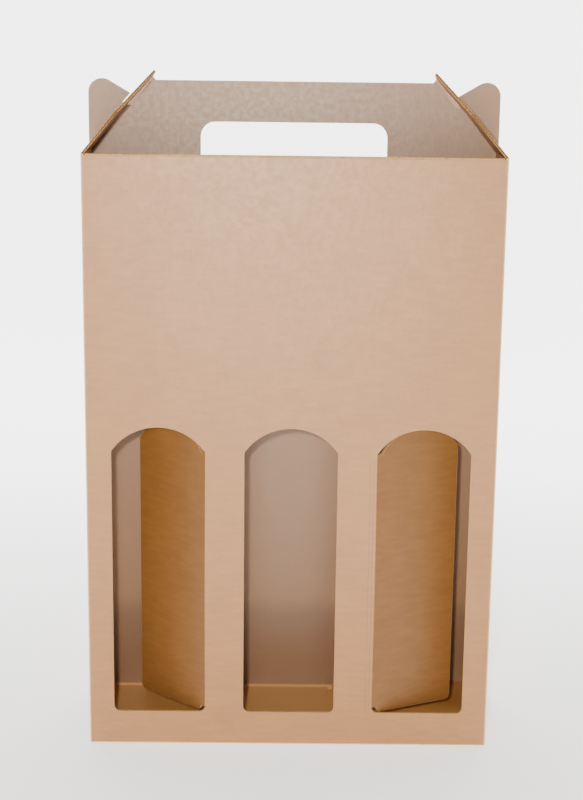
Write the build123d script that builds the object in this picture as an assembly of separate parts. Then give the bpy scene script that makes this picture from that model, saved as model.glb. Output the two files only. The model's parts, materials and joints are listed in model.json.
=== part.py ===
from build123d import *
import os
from math import atan, cos, radians, sin, tan

# Bottle shipping box: one die-cut, folded sheet of corrugated board.
# X is the width, the front wall faces -Y, Z is up, and the origin is under the middle of the base.

# Board and folds
board = 1.6                # thickness of the corrugated board
fold_radius = 0.8          # outer radius of the wall folds
layer_gap = 0.15           # play between two layers of board that lie on each other
free_play = 0.3            # play between a free edge and the wall beside it

# Walls
width = 262.0              # over the side walls, at the front
back_flare = 5.8           # how much further out each side wall stands at the back
depth = 90.0               # over the front and back walls
wall_height = 386.0        # from the base to the top folds

# Windows in the front wall
window_width = 60.0
window_pitch = 85.0
sill_height = 22.4
shoulder_height = 199.0
crown_height = 215.0
window_corner = 3.8

# Divider flaps, pushed in from the two outer windows
kerf = 0.4                 # cut width round the free edges of a divider flap
crease_play = 0.15         # play on each side of the mitred crease
left_flap_angle = 41.0     # from the plane of the front wall
right_flap_angle = 25.0

# Turned-in hem along the top of the front wall
hem_depth = 40.0
hem_side_play = 1.2
corner_relief = 1.0        # notch where the front fold meets the side fold

# Back wall above the rim: the handle panel and its two ears
handle_rise = 44.5
handle_corner = 6.0
hand_hole_width = 125.0
hand_hole_rise = 18.0      # top of the hand hole above the rim
hand_hole_height = 34.0
hand_hole_corner = 10.0
ear_tip_rise = 35.9        # inner tip of an ear above the rim
ear_slope = 30.0
ear_corner = 9.0

# Slots between the handle panel and the ears
slot_bottom_rise = 28.2
slot_ear_gap = 2.0         # between the side flap and the ear
slot_bottom_gap = 3.0      # between the side flap and the handle panel, at the slot's bottom
slot_mouth_gap = 1.2       # the same at the top edge of the handle panel
slot_corner = 1.5

# Side flaps at the top, hooked through the slots
side_flap_angle = 51.0     # above the horizontal, from the fold to the bend
hook_ease = 4.0            # how much flatter the flap lies from the bend to the tip
side_flap_bend = 33.0      # from the fold to the slight bend below the slot
side_flap_length = 67.5
side_flap_taper = 45.0     # how far the front edge runs back from fold to tip
side_flap_fall = 5.0       # how much shorter the flap is at the back of its tip
side_flap_corner = 4.0
hook_reach = 16.0          # how far the hook stands out behind the back wall
hook_start_gap = 1.0       # between the slot's bottom and the hook
hook_barb = 4.0            # how far the hook's barb hangs below the hook's neck
hook_corner = 1.5
hook_turn = 32.0           # how far the hook turns in behind the handle panel

# Base: an inner flap from the front wall over side flaps and an outer flap from the back wall
notch_width = 4.0
notch_depth = 18.0
locking_tab_width = 57.0
base_side_reach = 62.0
outer_flap_reach = 64.0
outer_flap_inset = 34.0    # how much narrower the outer flap is at its free edge, on each side
outer_flap_corner = 8.0
lifted_corner_angle = 5.0  # the loose back corner of the inner flap stands up by this much

# Glued joint
glue_tab_width = 30.0
glue_tab_inset = 8.0

half_width = width / 2
front = -depth / 2
back = depth / 2
inner_front = front + board
inner_back = back - board
inner_side = half_width - board
hem_round = board + layer_gap / 2
hooked_angle = side_flap_angle - hook_ease
splay = atan(back_flare / depth)


def side_x(y, inward=0.0):
    """X of the right side wall at a depth y, moved inward from its outer face."""
    return half_width + back_flare * (y - front) / depth - inward


def box_between(low, high):
    """A box between two opposite corners."""
    size = [high[i] - low[i] for i in range(3)]
    return Pos(*low) * Box(*size, align=(Align.MIN, Align.MIN, Align.MIN))


def upright_sheet(outline, outer_y):
    """Board cut to an outline drawn in X and Z, with its front face at outer_y."""
    return extrude(Plane.XZ.offset(-outer_y) * outline, -board)


def polygon(points):
    """A closed outline with straight sides."""
    return make_face(Polyline(*points, close=True))


def round_corners(outline, points, radius):
    """Round the outline's corners that lie at the given points."""
    corners = [v for v in outline.vertices()
               if any((Vector(*p) - Vector(v.X, v.Y)).length < 0.01 for p in points)]
    return fillet(corners, radius)


def window_outline(inset):
    """An arched window, drawn round X = 0 and made smaller by inset on every side."""
    side = window_width / 2 - inset
    rise = crown_height - shoulder_height
    arch_radius = ((window_width / 2) ** 2 + rise ** 2) / (2 * rise)
    arch_centre = crown_height - arch_radius
    crown = crown_height - inset
    shoulder = arch_centre + ((arch_radius - inset) ** 2 - side ** 2) ** 0.5
    sill = sill_height + inset
    path = Polyline((-side, shoulder), (-side, sill), (side, sill), (side, shoulder))
    outline = make_face(path + ThreePointArc((side, shoulder), (0, crown), (-side, shoulder)))
    corner = window_corner - inset
    return round_corners(outline, [(-side, sill), (side, sill)], corner)


def front_wall():
    """Front wall with three arched windows, and mitred creases where the divider flaps fold."""
    wall = box_between((-half_width, front, 0), (half_width, inner_front, wall_height - hem_round))
    for place in (-window_pitch, 0, window_pitch):
        wall -= Pos(place, 0, 0) * upright_sheet(window_outline(0), front)
    for place, side in divider_hinges():
        wall -= crease_wedge(place, side)
    return wall


def divider_hinges():
    """Where each divider flap folds, and the side of its fold that the wall is on."""
    left_fold = -window_pitch + window_width / 2
    return (left_fold, 1), (-left_fold, -1)


def crease_wedge(place, side):
    """What the mitre takes off the wall along one fold."""
    reach = board + crease_play
    points = [(place, front), (place + side * crease_play, front), (place + side * reach, inner_front),
              (place, inner_front)]
    return extrude(Plane.XY.offset(sill_height) * polygon(points), shoulder_height - sill_height)


def divider_flap(place, side, angle):
    """A divider flap, cut from its window and folded in by angle about the outer face."""
    centre = place - side * window_width / 2
    relief = 2 * board
    outline = window_outline(kerf)
    outline = outline & Pos(-side * relief, 0) * outline
    strip = Rectangle(window_width - kerf, shoulder_height - kerf - sill_height - window_corner)
    strip = Pos(side * kerf / 2, (shoulder_height - kerf + sill_height + window_corner) / 2) * strip
    strip = strip & Pos(side * window_width / 2, crown_height / 2) * Rectangle(4 * relief, crown_height)
    sheet = Pos(centre, 0, 0) * upright_sheet(outline + strip, front)
    far = place - side * (window_width + 1)
    mitre = [(place - side * crease_play, front), (place - side * (board + crease_play), inner_front),
             (far, inner_front), (far, front)]
    keep = extrude(Plane.XY * polygon(mitre), wall_height)
    sheet = (sheet & keep).solid()
    return sheet.rotate(Axis((place, front, 0), (0, 0, 1)), -side * angle)


def hem():
    """The top of the front wall, turned over and in as a second layer."""
    fold = extrude(Plane.YZ.offset(-half_width) * Circle(hem_round), width)
    fold = Pos(0, front + hem_round, wall_height - hem_round) * fold
    fold -= box_between((-width, -depth, 0), (width, depth, wall_height - hem_round))
    side = inner_side - hem_side_play
    low = wall_height - hem_depth
    layer = box_between((-side, inner_front + layer_gap, low),
                        (side, inner_front + layer_gap + board, wall_height - hem_round))
    lower_corners = layer.edges().filter_by(Axis.Y).sort_by(Axis.Z)[:2]
    return fold + fillet(lower_corners, fold_radius * 5)


def side_strip(near, far, outer, inner):
    """The plan of a strip along the right side wall, from one depth to another."""
    return polygon([(side_x(near, outer), near), (side_x(far, outer), far), (side_x(far, inner), far),
                    (side_x(near, inner), near)])


def side_walls():
    """The two side walls and the glue tab inside the left one."""
    right = extrude(side_strip(front, back, 0, board), wall_height)
    tab = side_strip(inner_back - glue_tab_width, inner_back, board, 2 * board)
    tab = extrude(Pos(0, 0, glue_tab_inset) * tab, wall_height - 2 * glue_tab_inset)
    tab = chamfer(tab.edges().filter_by(Axis.X).group_by(Axis.Y)[0], glue_tab_inset)
    return right + mirror(right + tab, Plane.YZ)


def flap_x(rise, inward):
    """X of the right side flap where it meets the back wall, moved inward square to the flap."""
    lower = radians(side_flap_angle)
    upper = radians(hooked_angle)
    bend_rise = side_flap_bend * sin(lower)
    if rise <= bend_rise:
        return side_x(back) - rise / tan(lower) - inward / sin(lower)
    return side_x(back) - bend_rise / tan(lower) - (rise - bend_rise) / tan(upper) - inward / sin(upper)


def back_wall():
    """Back wall, handle panel, ears, slots and hand hole, as one flat sheet."""
    ear_x = side_x(back)
    tip_x = flap_x(ear_tip_rise, -slot_ear_gap)
    ear_top = ear_tip_rise + (ear_x - tip_x) * tan(radians(ear_slope))
    slot_outer_x = flap_x(slot_bottom_rise, -slot_ear_gap)
    slot_inner_x = flap_x(slot_bottom_rise, board + slot_bottom_gap)
    handle_x = flap_x(handle_rise, board + slot_mouth_gap)
    half = [(ear_x, 0), (ear_x, wall_height + ear_top), (tip_x, wall_height + ear_tip_rise),
            (slot_outer_x, wall_height + slot_bottom_rise), (slot_inner_x, wall_height + slot_bottom_rise),
            (handle_x, wall_height + handle_rise)]
    outline = polygon(half + [(-x, z) for x, z in reversed(half)])
    for radius, number in ((ear_corner, 1), (slot_corner, 3), (slot_corner, 4), (handle_corner, 5)):
        x, z = half[number]
        outline = round_corners(outline, [(x, z), (-x, z)], radius)
    hole = RectangleRounded(hand_hole_width, hand_hole_height, hand_hole_corner)
    outline -= Pos(0, wall_height + hand_hole_rise - hand_hole_height / 2) * hole
    return upright_sheet(outline, inner_back)


def side_flap_outline():
    """The right side flap's cut outline: X runs up from the fold, and -Y back along it."""
    hook_start = slot_bottom_rise / sin(radians(side_flap_angle)) + hook_start_gap
    behind = back + free_play
    tip_back = back + hook_reach
    flap_back = inner_back - free_play
    places = [(0, front), (side_flap_length, front + side_flap_taper),
              (side_flap_length - side_flap_fall, tip_back), (hook_start - hook_barb, tip_back),
              (hook_start - hook_barb, behind), (hook_start, behind), (hook_start, flap_back), (0, flap_back)]
    run_in = cos(radians(side_flap_angle)) * sin(splay)
    points = [(up, -(y - front - up * run_in) / cos(splay)) for up, y in places]
    outline = polygon(points)
    for radius, numbers in ((side_flap_corner, (1, 2)), (hook_corner, (3, 4))):
        outline = round_corners(outline, [points[number] for number in numbers], radius)
    return outline


def side_flap():
    """The right side flap: it slopes in and up, and hooks through the slot in the back wall."""
    inward = Vector(-cos(splay), sin(splay), 0)
    outline = side_flap_outline()
    far = 4 * side_flap_length
    lower_part = Pos(side_flap_bend - far / 2, 0) * Rectangle(far, far)
    upper_part = Pos(side_flap_bend + far / 2, 0) * Rectangle(far, far)
    start = Vector(half_width, front, wall_height)
    lower, climb = flap_plane(start, inward, side_flap_angle)
    upper, climb = flap_plane(start + climb * side_flap_bend, inward, hooked_angle)
    turn_line = -(back + free_play + 2 * board - front) / cos(splay)
    in_front = Pos(0, turn_line + far / 2) * Rectangle(2 * far, far)
    behind = Pos(0, turn_line - far / 2) * Rectangle(2 * far, far)
    turn = radians(hook_turn)
    hook = Plane(origin=upper.from_local_coords((0, turn_line, 0)), x_dir=upper.x_dir,
                 z_dir=upper.z_dir * cos(turn) - upper.y_dir * sin(turn))
    flap = extrude(lower * (outline & lower_part & in_front), -board)
    flap += extrude(upper * (Pos(-side_flap_bend, 0) * (outline & upper_part & in_front)), -board)
    return flap + extrude(hook * (Pos(-side_flap_bend, -turn_line) * (outline & behind)), -board)


def flap_plane(origin, inward, angle):
    """The plane of a sloping flap's outer face, and the way up it."""
    slope = radians(angle)
    climb = inward * cos(slope) + Vector(0, 0, sin(slope))
    outward = inward * -sin(slope) + Vector(0, 0, cos(slope))
    return Plane(origin=origin, x_dir=climb, z_dir=outward), climb


def base():
    """The closed base: the outer flap and side flaps below, the inner flap above."""
    reach_y = back - outer_flap_reach
    narrow = half_width - outer_flap_inset
    hinge = side_x(inner_back, board)
    outer = polygon([(-hinge, inner_back), (hinge, inner_back), (narrow, reach_y), (-narrow, reach_y)])
    outer = round_corners(outer, [(narrow, reach_y), (-narrow, reach_y)], outer_flap_corner)
    inner_x = half_width - base_side_reach
    near = inner_front + free_play
    far = inner_back - free_play
    room = offset(outer, free_play * 3)
    side = polygon([(side_x(near, board), near), (side_x(far, board), far),
                    (inner_x, inner_back - base_side_reach / 2), (inner_x, near)]) - room
    lower = extrude(outer, board) + extrude(side, board) + extrude(mirror(side, Plane.YZ), board)
    return lower + inner_base_flap()


def inner_base_flap():
    """The floor of the box: it reaches the back wall, with two notches and one lifted corner."""
    gap = board + free_play
    reach = inner_back - free_play
    near = (side_x(inner_front, gap), inner_front)
    far = (side_x(reach, gap), reach)
    flat = polygon([(-near[0], near[1]), near, far, (-far[0], far[1])])
    notch_x = (locking_tab_width + notch_width) / 2
    for place in (-notch_x, notch_x):
        flat -= Pos(place, reach - notch_depth / 2) * Rectangle(notch_width, notch_depth)
    notch_end = Vector(notch_x, reach - notch_depth)
    crease_y = inner_front + notch_depth
    side_end = Vector(side_x(crease_y, gap), crease_y)
    corner = flat & polygon([tuple(notch_end), tuple(side_end), far, (notch_x, reach)])
    level = board + layer_gap
    crease = Axis((notch_end.X, notch_end.Y, level), side_end - notch_end)
    lifted = extrude(Pos(0, 0, level) * corner, board).rotate(crease, lifted_corner_angle)
    inside = extrude(flat, wall_height)
    return extrude(Pos(0, 0, level) * (flat - corner), board) + (lifted & inside)


def corner_notches():
    """Small reliefs where the front fold meets the side folds."""
    notch = box_between((inner_side - corner_relief, front, wall_height - corner_relief),
                        (inner_side, front + 2 * hem_round, wall_height))
    return notch + mirror(notch, Plane.YZ)


def rounded_walls():
    """The four walls with their outer folds rounded."""
    shell = front_wall() + side_walls()
    folds = [edge for edge in shell.edges().filter_by(Axis.Z)
             if abs(abs(edge.center().X) - half_width) < 0.01 and abs(edge.center().Y - front) < 0.01]
    return fillet(folds, fold_radius)


right_flap = side_flap()
carton = rounded_walls() + hem() + back_wall() + base()
carton = carton + right_flap + mirror(right_flap, Plane.YZ) - corner_notches()

left_hinge, right_hinge = divider_hinges()
pieces = {
    "carton_body": carton,
    "left_divider_flap": divider_flap(*left_hinge, left_flap_angle),
    "right_divider_flap": divider_flap(*right_hinge, right_flap_angle),
}

os.makedirs("parts", exist_ok=True)
for name, piece in pieces.items():
    export_step(piece, "parts/" + name + ".step")
    print(name, len(piece.solids()), "solid,", round(piece.volume), "mm3", piece.bounding_box())
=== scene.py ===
import json
from math import cos, pi, radians, sin

import bmesh
import bpy
from mathutils import Matrix, Vector


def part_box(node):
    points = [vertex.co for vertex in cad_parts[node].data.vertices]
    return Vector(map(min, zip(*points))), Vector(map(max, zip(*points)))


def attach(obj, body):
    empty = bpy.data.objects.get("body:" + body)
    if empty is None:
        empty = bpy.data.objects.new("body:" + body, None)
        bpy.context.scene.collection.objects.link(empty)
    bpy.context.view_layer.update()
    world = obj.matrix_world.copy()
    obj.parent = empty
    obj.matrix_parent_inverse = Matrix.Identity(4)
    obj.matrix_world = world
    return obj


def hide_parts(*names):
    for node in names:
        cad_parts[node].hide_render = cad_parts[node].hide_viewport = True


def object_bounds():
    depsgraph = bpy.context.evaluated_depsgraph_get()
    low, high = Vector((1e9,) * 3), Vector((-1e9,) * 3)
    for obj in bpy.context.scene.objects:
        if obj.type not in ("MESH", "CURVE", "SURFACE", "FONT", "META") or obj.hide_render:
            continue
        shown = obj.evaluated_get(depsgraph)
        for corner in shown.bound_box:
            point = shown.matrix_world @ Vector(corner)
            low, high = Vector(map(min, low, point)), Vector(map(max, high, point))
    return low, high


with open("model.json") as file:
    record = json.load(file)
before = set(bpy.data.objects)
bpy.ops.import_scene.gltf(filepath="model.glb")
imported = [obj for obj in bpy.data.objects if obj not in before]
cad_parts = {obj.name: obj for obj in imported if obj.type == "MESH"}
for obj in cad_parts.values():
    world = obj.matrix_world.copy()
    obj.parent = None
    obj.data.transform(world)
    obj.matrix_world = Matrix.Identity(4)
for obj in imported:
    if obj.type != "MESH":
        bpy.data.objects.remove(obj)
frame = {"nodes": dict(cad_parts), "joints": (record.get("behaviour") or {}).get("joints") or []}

cad_low, cad_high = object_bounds()

MM = 0.001

# The board, as a corrugator makes it
BOARD = 1.6 * MM             # over both liners
LINER = 0.26 * MM            # one liner
MEDIUM = 0.20 * MM           # the fluted paper between them
FLUTE_PITCH = 1.75 * MM
EDGE_RELIEF = 0.14 * MM      # how far the paper edges stand out of the cut
EDGE_STEP = 0.22 * MM        # sampling along a cut edge

# The rounded liner at a divider's fold: its radius and how far it stops short of the flap's ends
CREASE_RADIUS = 0.32 * MM
CREASE_FOOT = 3.4 * MM
CREASE_HEAD = 16 * MM

# The box: its fold lines and its depth come from the frame
FOLDS = {joint["name"]: Vector(joint["pos_m"]) for joint in frame["joints"]}
FRONT = FOLDS["left_divider_fold"].y
BACK = -FRONT                # the origin is halfway between the front and back walls
SIDE = 131.0 * MM            # outer face of a side wall, at the front
FLARE = cad_high.x - SIDE    # how much further out it stands at the back
RIM = 386.0 * MM             # the top folds of the front and side walls

# The lights: place, aim, size in metres, power in watts, colour
TOP_LIGHT = ((-0.2, -0.3, 1.6), (0, 0, 0.25), 1.4, 4.5, (1.0, 0.93, 0.84))
FRONT_LIGHT = ((-0.048, -0.96, 0.46), (0, 0, 0.22), 0.025, 8, (1.0, 0.94, 0.82))
FRONT_CARD = ((0.0, -0.98, 0.2), (0, 0, 0.2), 0.4, 3.2, (1.0, 0.92, 0.78))

# The camera
CAMERA_PLACE = (-0.00784, FRONT - 0.91478, 0.4272)
CAMERA_PITCH, CAMERA_YAW, CAMERA_ROLL = radians(11.95), radians(0.47), radians(0.71)
LENS, SENSOR = 66.6, 36      # millimetres


# ---------------------------------------------------------------- shader helpers

class Shader:
    """Builds one material's nodes with short calls."""

    def __init__(self, name, roughness=0.8, specular=0.25):
        self.material = bpy.data.materials.new(name)
        self.material.use_nodes = True
        self.tree = self.material.node_tree
        self.bsdf = self.tree.nodes["Principled BSDF"]
        self.bsdf.inputs["Roughness"].default_value = roughness
        self.bsdf.inputs["Specular IOR Level"].default_value = specular

    def node(self, kind, links=None, **values):
        """Add a node, set its properties and link its inputs."""
        made = self.tree.nodes.new(kind)
        for key, value in values.items():
            setattr(made, key, value)
        for key, source in (links or {}).items():
            self.feed(made.inputs[key], source)
        return made

    def feed(self, socket, source):
        """Link a socket, or set it to a constant."""
        if isinstance(source, bpy.types.NodeSocket):
            self.tree.links.new(source, socket)
        else:
            socket.default_value = source

    def math(self, operation, first, second=0.0):
        return self.node("ShaderNodeMath", {0: first, 1: second}, operation=operation).outputs[0]

    def axes(self):
        """The X, Y and Z of object coordinates."""
        return self.node("ShaderNodeSeparateXYZ", {0: self.place()}).outputs

    def place(self):
        """Object coordinates, which are the row frame in metres."""
        return self.node("ShaderNodeTexCoord").outputs["Object"]

    def noise(self, scale, detail=3.0, roughness=0.5, stretch=(1, 1, 1), offset=(0, 0, 0)):
        """Noise with its features stretched along the axes."""
        mapping = self.node("ShaderNodeMapping", {"Vector": self.place()})
        mapping.inputs["Scale"].default_value = stretch
        mapping.inputs["Location"].default_value = offset
        made = self.node("ShaderNodeTexNoise", {"Vector": mapping.outputs[0], "Scale": scale,
                                                "Detail": detail, "Roughness": roughness})
        return made.outputs["Fac"]

    def ramp(self, value, low, high, to_low=0.0, to_high=1.0):
        """Smoothly map a value range to another."""
        made = self.node("ShaderNodeMapRange", {"Value": value, "From Min": low, "From Max": high,
                                                "To Min": to_low, "To Max": to_high},
                         interpolation_type="SMOOTHSTEP")
        return made.outputs[0]

    def mix(self, factor, first, second, blend="MIX"):
        made = self.node("ShaderNodeMix", data_type="RGBA", blend_type=blend)
        for number, source in ((0, factor), (6, first), (7, second)):
            self.feed(made.inputs[number], source)
        return made.outputs[2]

    def bump(self, height, distance, strength=1.0, under=None):
        made = self.node("ShaderNodeBump", {"Height": height, "Strength": strength, "Distance": distance})
        if under is not None:
            self.feed(made.inputs["Normal"], under)
        return made.outputs[0]


def paint(red, green, blue):
    """Screen colour, 0 to 255, as the linear colour that a shader takes."""
    def linear(value):
        value /= 255
        return value / 12.92 if value <= 0.04045 else ((value + 0.055) / 1.055) ** 2.4
    return linear(red), linear(green), linear(blue), 1.0


# ---------------------------------------------------------------- finishes

def kraft_colour(shader, base, light, dark):
    """Kraft paper: cloudy pulp, long fibres lying across, pale and dark specks."""
    cloud = shader.ramp(shader.noise(38, 4, 0.6), 0.35, 0.68)
    fibre = shader.ramp(shader.noise(210, 5, 0.65, (0.35, 0.35, 1.6)), 0.38, 0.66)
    speck = shader.ramp(shader.noise(1500, 2, 0.6, (0.6, 0.6, 1.5), (0.3, 0.1, 0.2)), 0.62, 0.72)
    grit = shader.ramp(shader.noise(1900, 2, 0.6, (1, 1, 1), (1.3, 2.1, 0.7)), 0.66, 0.74)
    colour = shader.mix(shader.math("MULTIPLY", cloud, 0.20), base, dark)
    colour = shader.mix(shader.math("MULTIPLY", fibre, 0.24), colour, light)
    colour = shader.mix(shader.math("MULTIPLY", speck, 0.22), colour, light)
    return shader.mix(shader.math("MULTIPLY", grit, 0.28), colour, dark)


def fold_mask(shader):
    """One along the carton's pressed outer folds, where the liner is stretched and a painted highlight lies,
    and zero elsewhere.
    """
    axes = shader.axes()
    x = shader.math("ABSOLUTE", axes["X"])
    y = axes["Y"]
    z = axes["Z"]
    flare = shader.math("MULTIPLY", shader.math("SUBTRACT", y, FRONT), FLARE / (BACK - FRONT))
    within = shader.math("SUBTRACT", x, flare)
    near_side = shader.ramp(within, SIDE - 1.3 * MM, SIDE - 0.4 * MM)
    near_front = shader.ramp(y, FRONT + 1.5 * MM, FRONT + 0.6 * MM)
    near_back = shader.ramp(y, BACK - 1.5 * MM, BACK - 0.6 * MM)
    near_rim = shader.ramp(z, RIM - 1.5 * MM, RIM - 0.7 * MM)
    above_rim = shader.ramp(z, RIM + 0.9 * MM, RIM + 0.2 * MM)
    near_base = shader.ramp(z, 1.1 * MM, 0.3 * MM)
    below_rim = shader.ramp(z, RIM + 0.4 * MM, RIM)
    wall = shader.math("MAXIMUM", near_front, near_back)
    upright = shader.math("MULTIPLY", shader.math("MULTIPLY", near_side, wall), below_rim)
    rim = shader.math("MULTIPLY", shader.math("MULTIPLY", near_rim, above_rim),
                      shader.math("MAXIMUM", near_front, near_side))
    base = shader.math("MULTIPLY", near_base, shader.math("MAXIMUM", wall, near_side))
    return shader.math("MAXIMUM", shader.math("MAXIMUM", upright, rim), base)


def inner_tones(shader, colour):
    """Painted shade on the back wall's inner face with a darker painted shadow low down, painted light on the
    floor inside and painted shade on the hooks.
    """
    axes = shader.axes()
    # The back wall's inner face is painted greyer and darker than the liner: painted shade, darkest below
    # about 60 mm as a painted shadow.
    off_face = shader.math("ABSOLUTE", shader.math("SUBTRACT", axes["Y"], BACK - BOARD))
    on_face = shader.ramp(off_face, 0.5 * MM, 0.1 * MM, 0.0, 0.8)
    low = shader.ramp(axes["Z"], 74 * MM, 56 * MM)
    back_wall_shade = shader.mix(low, paint(146, 108, 76), paint(118, 86, 64))
    colour = shader.mix(on_face, colour, back_wall_shade)
    # The floor inside the box is painted paler and yellower: painted light where the floor is lit.
    within = shader.ramp(shader.math("ABSOLUTE", axes["X"]), SIDE - BOARD, SIDE - 2 * BOARD)
    behind_front = shader.ramp(axes["Y"], FRONT + BOARD, FRONT + 2 * BOARD)
    floor_painted_light = shader.math("MULTIPLY", within, shader.math("MULTIPLY", behind_front,
                           shader.ramp(axes["Z"], 6 * MM, 4 * MM, 0.0, 0.7)))
    colour = shader.mix(floor_painted_light, colour, paint(214, 160, 92))
    # Behind the back wall the hooks are painted darker: painted shade on their undersides.
    hook_painted_shade = shader.ramp(axes["Y"], BACK + 0.3 * MM, BACK + 1.5 * MM, 0.0, 0.5)
    return shader.mix(hook_painted_shade, colour, paint(124, 78, 36))


def score_line_shade(shader, colour):
    """Two faint score lines beside the right divider's fold, drawn dark as painted shade in their grooves."""
    axes = shader.axes()
    beside = shader.math("SUBTRACT", FOLDS["right_divider_fold"].x, axes["X"])
    nearest = shader.math("MINIMUM", shader.math("ABSOLUTE", shader.math("SUBTRACT", beside, 2.1 * MM)),
                          shader.math("ABSOLUTE", shader.math("SUBTRACT", beside, 4.2 * MM)))
    line = shader.ramp(nearest, 0.34 * MM, 0.12 * MM)
    level = shader.math("ABSOLUTE", shader.math("SUBTRACT", axes["Z"], 110 * MM))
    line = shader.math("MULTIPLY", line, shader.ramp(level, 90 * MM, 84 * MM))
    line = shader.math("MULTIPLY", line, shader.ramp(axes["Y"], FRONT + 0.5 * MM, FRONT + 0.2 * MM))
    return shader.mix(shader.math("MULTIPLY", line, 0.4), colour, paint(112, 66, 26))


def kraft_liner(name, base, light, dark, sheen):
    """The board's paper, inside and out, with painted shade and painted light inside the box, painted shade
    in the score lines and a painted highlight along the folds.
    """
    shader = Shader(name, roughness=0.46, specular=sheen)
    shader.bsdf.inputs["IOR"].default_value = 1.5
    colour = score_line_shade(shader, inner_tones(shader, kraft_colour(shader, base, light, dark)))
    # The folds are painted pale: partly stretched liner, partly a painted highlight along the rounded edges.
    patchy = shader.ramp(shader.noise(420, 3), 0.30, 0.55, 0.55, 1.0)
    fold_wear_and_highlight = shader.math("MULTIPLY", fold_mask(shader), patchy)
    colour = shader.mix(shader.math("MULTIPLY", fold_wear_and_highlight, 0.75), colour, paint(252, 204, 132))
    shader.feed(shader.bsdf.inputs["Base Color"], colour)
    axes = shader.axes()
    across = shader.math("ADD", axes["X"], axes["Y"])
    ribs = shader.math("SINE", shader.math("MULTIPLY", across, 2 * pi / FLUTE_PITCH))
    washboard = shader.bump(ribs, 0.012 * MM, 0.5)
    fibres = shader.bump(shader.noise(900, 4, 0.65, (0.5, 0.5, 1.6)), 0.10 * MM, 0.5, washboard)
    waves = shader.bump(shader.noise(26, 2, 0.5, (1, 1, 0.45)), 1.2 * MM, 0.22, fibres)
    shader.feed(shader.bsdf.inputs["Normal"], waves)
    shader.feed(shader.bsdf.inputs["Roughness"], shader.ramp(shader.noise(300, 3), 0.3, 0.7, 0.43, 0.49))
    return shader.material


def shaded_cut_core():
    """The cut through the board, seen between its paper edges, painted dark as the shade in the hollows
    between the flutes.
    """
    shader = Shader("shaded_cut_core", roughness=0.9, specular=0.1)
    deep = shader.ramp(shader.noise(1400, 3, 0.6), 0.35, 0.65)
    shader.feed(shader.bsdf.inputs["Base Color"], shader.mix(deep, paint(92, 56, 26), paint(128, 84, 44)))
    shader.feed(shader.bsdf.inputs["Normal"], shader.bump(shader.noise(2600, 3), 0.1 * MM, 0.6))
    return shader.material


def paper_edge():
    """The cut edges of the liners and of the fluted paper."""
    shader = Shader("paper_edge", roughness=0.85, specular=0.15)
    fray = shader.ramp(shader.noise(2100, 3, 0.7), 0.35, 0.65)
    shader.feed(shader.bsdf.inputs["Base Color"], shader.mix(fray, paint(190, 140, 88), paint(226, 186, 134)))
    shader.feed(shader.bsdf.inputs["Normal"], shader.bump(shader.noise(3000, 2), 0.06 * MM, 0.6))
    return shader.material


def pale_floor():
    """The studio floor and its backdrop."""
    shader = Shader("pale_floor", roughness=0.9, specular=0.1)
    cloud = shader.noise(3, 2)
    pale = shader.mix(cloud, (0.95, 0.95, 0.95, 1), (0.97, 0.97, 0.97, 1))
    shader.feed(shader.bsdf.inputs["Base Color"], pale)
    shader.bsdf.inputs["Emission Color"].default_value = (1, 1, 1, 1)
    # The floor and backdrop glow, more strongly further back: painted light, which also lights the box.
    away = shader.axes()["Y"]
    shader.feed(shader.bsdf.inputs["Emission Strength"], shader.ramp(away, -0.1, 0.9, 1.1, 3.6))
    return shader.material


# ---------------------------------------------------------------- the board itself

def cut_run(face):
    """The run of a cut face between the board's two liners, or None for any other face.

    It gives the two ends of its middle line, the way through the board and the way out."""
    best = None
    if face.calc_area() > 1.3 * BOARD * max(edge.calc_length() for edge in face.edges):
        return None
    for first in face.edges:
        for second in face.edges:
            if first is second or second.calc_length() > first.calc_length():
                continue
            along = (first.verts[1].co - first.verts[0].co).normalized()
            other = (second.verts[1].co - second.verts[0].co).normalized()
            beside = second.verts[0].co - first.verts[0].co
            if abs(along.dot(other)) < 0.9995:
                continue
            through = beside - along * beside.dot(along)
            if abs(through.length - BOARD) > 0.05 * MM:
                continue
            beyond = [near.normal for edge in (first, second) for near in edge.link_faces if near is not face]
            if len(beyond) != 2 or beyond[0].dot(beyond[1]) > -0.98:
                continue
            if best is None or second.calc_length() > best[0]:
                ends = [vertex.co - through / 2 for vertex in second.verts]
                best = (second.calc_length(), ends[0], ends[1], through.normalized(), face.normal.copy())
    return best[1:] if best else None


def clean_sheet(node, name, liner, core):
    """A clean copy of a CAD node with its cut edges in their own material, and the runs of those edges."""
    source = frame["nodes"][node]
    work = bmesh.new()
    work.from_mesh(source.data)
    work.transform(source.matrix_world)
    bmesh.ops.remove_doubles(work, verts=work.verts, dist=0.002 * MM)
    bmesh.ops.dissolve_limit(work, angle_limit=radians(0.6), verts=work.verts, edges=work.edges)
    work.normal_update()
    runs = []
    for face in work.faces:
        run = cut_run(face)
        face.material_index = 1 if run else 0
        if run:
            runs.append(run)
    piece = as_piece(work, name, liner, core)
    return piece, runs


def as_piece(work, name, *materials):
    """Turn a bmesh into an object with these materials."""
    mesh = bpy.data.meshes.new(name)
    work.to_mesh(mesh)
    work.free()
    for material in materials:
        mesh.materials.append(material)
    piece = bpy.data.objects.new(name, mesh)
    bpy.context.collection.objects.link(piece)
    return piece


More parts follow.
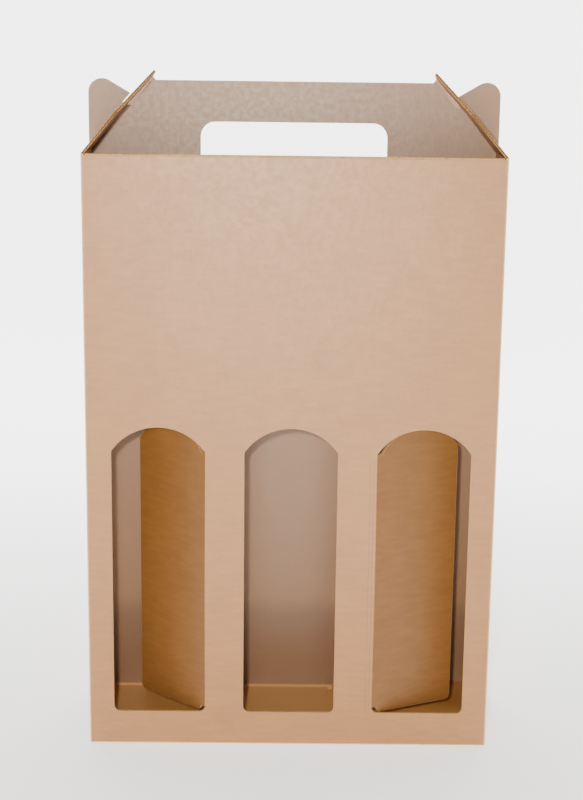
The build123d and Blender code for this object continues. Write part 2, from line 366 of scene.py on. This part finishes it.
def edge_paths(runs, name):
    """The cut runs as a mesh of edges, which carries the way through the board and the way out."""
    facing = Vector((0.31, 0.87, 0.39))
    places, throughs, outs, edges, known = [], [], [], [], {}
    for start, end, through, out in runs:
        if through.dot(facing) < 0:
            through = -through
        pair = []
        for point in (start, end):
            key = tuple(round(value / (0.02 * MM)) for value in point)
            if key not in known:
                known[key] = len(places)
                places.append(point)
                throughs.append(Vector())
                outs.append(Vector())
            number = known[key]
            throughs[number] += through
            outs[number] += out
            pair.append(number)
        if pair[0] != pair[1]:
            edges.append(pair)
    mesh = bpy.data.meshes.new(name)
    mesh.from_pydata(places, edges, [])
    for label, ways in (("through", throughs), ("out", outs)):
        layer = mesh.attributes.new(label, "FLOAT_VECTOR", "POINT")
        layer.data.foreach_set("vector", [value for way in ways for value in way.normalized()])
    piece = bpy.data.objects.new(name, mesh)
    bpy.context.collection.objects.link(piece)
    return piece


class Tree:
    """Builds one Geometry Nodes tree with short calls."""

    def __init__(self, name, **sizes):
        self.tree = bpy.data.node_groups.new(name, "GeometryNodeTree")
        self.tree.interface.new_socket("Geometry", in_out="INPUT", socket_type="NodeSocketGeometry")
        self.sockets = {}
        for label, value in sizes.items():
            kind = "NodeSocketMaterial" if label == "Material" else "NodeSocketFloat"
            self.sockets[label] = self.tree.interface.new_socket(label, in_out="INPUT", socket_type=kind)
        self.sizes = sizes
        self.tree.interface.new_socket("Geometry", in_out="OUTPUT", socket_type="NodeSocketGeometry")
        self.start = self.tree.nodes.new("NodeGroupInput")
        self.end = self.tree.nodes.new("NodeGroupOutput")

    def size(self, label):
        """One of the tree's named sizes."""
        return self.start.outputs[label]

    def node(self, kind, links=None, **values):
        made = self.tree.nodes.new(kind)
        for key, value in values.items():
            setattr(made, key, value)
        for key, source in (links or {}).items():
            if isinstance(source, bpy.types.NodeSocket):
                self.tree.links.new(source, made.inputs[key])
            else:
                made.inputs[key].default_value = source
        return made

    def math(self, operation, first, second=0.0):
        return self.node("ShaderNodeMath", {0: first, 1: second}, operation=operation).outputs[0]

    def vector(self, operation, first, second=(0, 0, 0)):
        return self.node("ShaderNodeVectorMath", {0: first, 1: second}, operation=operation).outputs[0]

    def scaled(self, way, amount):
        return self.node("ShaderNodeVectorMath", {0: way, "Scale": amount}, operation="SCALE").outputs[0]

    def attribute(self, label):
        return self.node("GeometryNodeInputNamedAttribute", {"Name": label},
                         data_type="FLOAT_VECTOR").outputs[0]

    def finish(self, geometry):
        """End in Realize Instances and Set Material."""
        real = self.node("GeometryNodeRealizeInstances", {0: geometry}).outputs[0]
        done = self.node("GeometryNodeSetMaterial", {"Geometry": real, "Material": self.size("Material")})
        self.tree.links.new(done.outputs[0], self.end.inputs[0])

    def bake(self, source, name):
        """Run the tree on an object and turn the result into a plain mesh of its own."""
        modifier = source.modifiers.new(name, "NODES")
        modifier.node_group = self.tree
        for label, value in self.sizes.items():
            modifier[self.sockets[label].identifier] = value
        shown = source.evaluated_get(bpy.context.evaluated_depsgraph_get())
        mesh = bpy.data.meshes.new_from_object(shown)
        mesh.name = name
        bpy.data.objects.remove(source)
        piece = bpy.data.objects.new(name, mesh)
        bpy.context.collection.objects.link(piece)
        work = bmesh.new()
        work.from_mesh(mesh)
        bmesh.ops.recalc_face_normals(work, faces=work.faces)
        work.to_mesh(mesh)
        work.free()
        return piece


def raised_strip(tree, path, shift, breadth):
    """A strip of paper edge along a path, breadth wide, shifted through the board and standing out of it."""
    through = tree.attribute("through")
    out = tree.attribute("out")
    aside = tree.scaled(through, tree.math("SUBTRACT", shift, tree.math("MULTIPLY", breadth, 0.5)))
    sunk = tree.scaled(out, tree.math("MULTIPLY", tree.size("Relief"), -0.3))
    start = tree.node("GeometryNodeSetPosition", {"Geometry": path,
                                                  "Offset": tree.vector("ADD", aside, sunk)})
    ribbon = tree.node("GeometryNodeExtrudeMesh", {"Mesh": start.outputs[0], "Offset": through,
                                                   "Offset Scale": breadth}, mode="EDGES")
    height = tree.math("MULTIPLY", tree.size("Relief"), 1.3)
    raised = tree.node("GeometryNodeExtrudeMesh", {"Mesh": ribbon.outputs[0], "Offset": out,
                                                   "Offset Scale": height, "Individual": False}, mode="FACES")
    return raised.outputs[0]


def fluted_edges(runs, name, material):
    """The board's cut edges: two liners with the fluted paper waving between them."""
    tree = Tree("fluted_edges", Board=BOARD, Liner=LINER, Medium=MEDIUM, Pitch=FLUTE_PITCH,
                Relief=EDGE_RELIEF, Step=EDGE_STEP, Material=material)
    source = tree.start.outputs["Geometry"]
    curve = tree.node("GeometryNodeMeshToCurve", {"Mesh": source}).outputs[0]
    fine = tree.node("GeometryNodeResampleCurve", {"Curve": curve, "Length": tree.size("Step")},
                     mode="LENGTH")
    path = tree.node("GeometryNodeCurveToMesh", {"Curve": fine.outputs[0]}).outputs[0]
    half = tree.math("MULTIPLY", tree.size("Board"), 0.5)
    edge = tree.math("SUBTRACT", half, tree.math("MULTIPLY", tree.size("Liner"), 0.5))
    through = tree.attribute("through")
    level = tree.node("ShaderNodeSeparateXYZ", {0: through}).outputs["Z"]
    flat = tree.node("FunctionNodeCompare", {0: tree.math("ABSOLUTE", level), 1: 0.9},
                     operation="GREATER_THAN")
    upright = tree.vector("NORMALIZE", tree.vector("CROSS_PRODUCT", (0, 0, 1), through))
    crosswise = tree.node("GeometryNodeSwitch", {"Switch": flat.outputs[0], "False": upright,
                                                 "True": (1, 0, 0)}, input_type="VECTOR").outputs[0]
    place = tree.node("GeometryNodeInputPosition").outputs[0]
    across = tree.node("ShaderNodeVectorMath", {0: place, 1: crosswise},
                       operation="DOT_PRODUCT").outputs["Value"]
    phase = tree.math("MULTIPLY", tree.math("DIVIDE", across, tree.size("Pitch")), 2 * pi)
    room = tree.math("SUBTRACT", tree.math("SUBTRACT", half, tree.size("Liner")),
                     tree.math("MULTIPLY", tree.size("Medium"), 0.5))
    wave = tree.math("MULTIPLY", tree.math("SINE", phase), room)
    strips = [raised_strip(tree, source, edge, tree.size("Liner")),
              raised_strip(tree, source, tree.math("MULTIPLY", edge, -1), tree.size("Liner")),
              raised_strip(tree, path, wave, tree.size("Medium"))]
    joined = tree.node("GeometryNodeJoinGeometry")
    for strip in strips:
        tree.tree.links.new(strip, joined.inputs[0])
    tree.finish(joined.outputs[0])
    return tree.bake(edge_paths(runs, name + "_paths"), name)


def crease_bead(name, fold, low, high, radius, material):
    """The rounded liner where a divider flap folds, on the fold line itself."""
    work = bmesh.new()
    middle = Matrix.Translation((fold.x, fold.y + radius, (low + high) / 2))
    bmesh.ops.create_cone(work, cap_ends=True, segments=10, radius1=radius, radius2=radius,
                          depth=high - low, matrix=middle)
    for face in work.faces:
        face.smooth = len(face.verts) == 4
    return as_piece(work, name, material)


# ---------------------------------------------------------------- studio

def studio():
    """Floor, world and lights."""
    floor_low = cad_low.z
    work = bmesh.new()
    reach, rise = 4.0, 3.0
    profile = [(-reach, 0)] + [(1.2 + 0.8 * sin(step * pi / 16), 0.8 - 0.8 * cos(step * pi / 16))
                               for step in range(9)] + [(2.0, rise)]
    rows = [[work.verts.new((side * reach, y, floor_low + z)) for y, z in profile] for side in (-1, 1)]
    for number in range(len(profile) - 1):
        work.faces.new((rows[0][number], rows[1][number], rows[1][number + 1], rows[0][number + 1]))
    for face in work.faces:
        face.smooth = True
    floor = as_piece(work, "studio_floor", pale_floor())

    world = bpy.data.worlds.new("studio")
    world.use_nodes = True
    world.node_tree.nodes["Background"].inputs["Color"].default_value = (1.0, 0.985, 0.97, 1)
    world.node_tree.nodes["Background"].inputs["Strength"].default_value = 0.10
    bpy.context.scene.world = world
    soft_light("top_light", *TOP_LIGHT)
    soft_light("front_light", *FRONT_LIGHT)
    soft_light("front_card", *FRONT_CARD)


def soft_light(name, place, aim, size, power, colour):
    """A square area light."""
    data = bpy.data.lights.new(name, "AREA")
    data.size = size
    data.energy = power
    data.color = colour
    light = bpy.data.objects.new(name, data)
    light.location = place
    light.rotation_euler = (Vector(aim) - Vector(place)).to_track_quat("-Z", "Y").to_euler()
    bpy.context.collection.objects.link(light)


def camera():
    """A camera a little above the middle of the box, looking slightly down."""
    forward = Vector((sin(CAMERA_YAW) * cos(CAMERA_PITCH), cos(CAMERA_YAW) * cos(CAMERA_PITCH),
                      -sin(CAMERA_PITCH)))
    level = Vector((cos(CAMERA_YAW), -sin(CAMERA_YAW), 0))
    upward = level.cross(forward)
    right = level * cos(CAMERA_ROLL) + upward * sin(CAMERA_ROLL)
    up = upward * cos(CAMERA_ROLL) - level * sin(CAMERA_ROLL)
    data = bpy.data.cameras.new("camera")
    data.lens = LENS
    data.sensor_width = SENSOR
    shown = bpy.data.objects.new("camera", data)
    turn = Matrix((right, up, -forward)).transposed().to_4x4()
    shown.matrix_world = Matrix.Translation(CAMERA_PLACE) @ turn
    bpy.context.collection.objects.link(shown)
    bpy.context.scene.camera = shown


# ---------------------------------------------------------------- build

def build():
    core, edge = shaded_cut_core(), paper_edge()
    liner = kraft_liner("kraft_liner", paint(166, 108, 44), paint(186, 130, 64), paint(140, 86, 30), 1.0)
    # The divider flaps take a darker copy of the liner: painted shade for flaps turned away from the light.
    shaded_flap_liner = kraft_liner("shaded_flap_liner", paint(128, 85, 40), paint(148, 104, 56), paint(106, 68, 30), 0.45)
    for node, body in (("carton_body", "carton"), ("left_divider_flap", "left_divider"),
                       ("right_divider_flap", "right_divider")):
        paper = liner if body == "carton" else shaded_flap_liner
        piece, runs = clean_sheet(node, node.replace("_body", "") + "_sheet", paper, core)
        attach(piece, body)
        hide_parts(node)
        edges = fluted_edges(runs, node.replace("_body", "") + "_cut_edges", edge)
        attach(edges, body)
    for side in ("left", "right"):
        low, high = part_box(side + "_divider_flap")
        bead = crease_bead(side + "_divider_crease", FOLDS[side + "_divider_fold"], low.z + CREASE_FOOT,
                           high.z - CREASE_HEAD, CREASE_RADIUS, liner)
        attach(bead, "carton")


camera()
studio()
build()
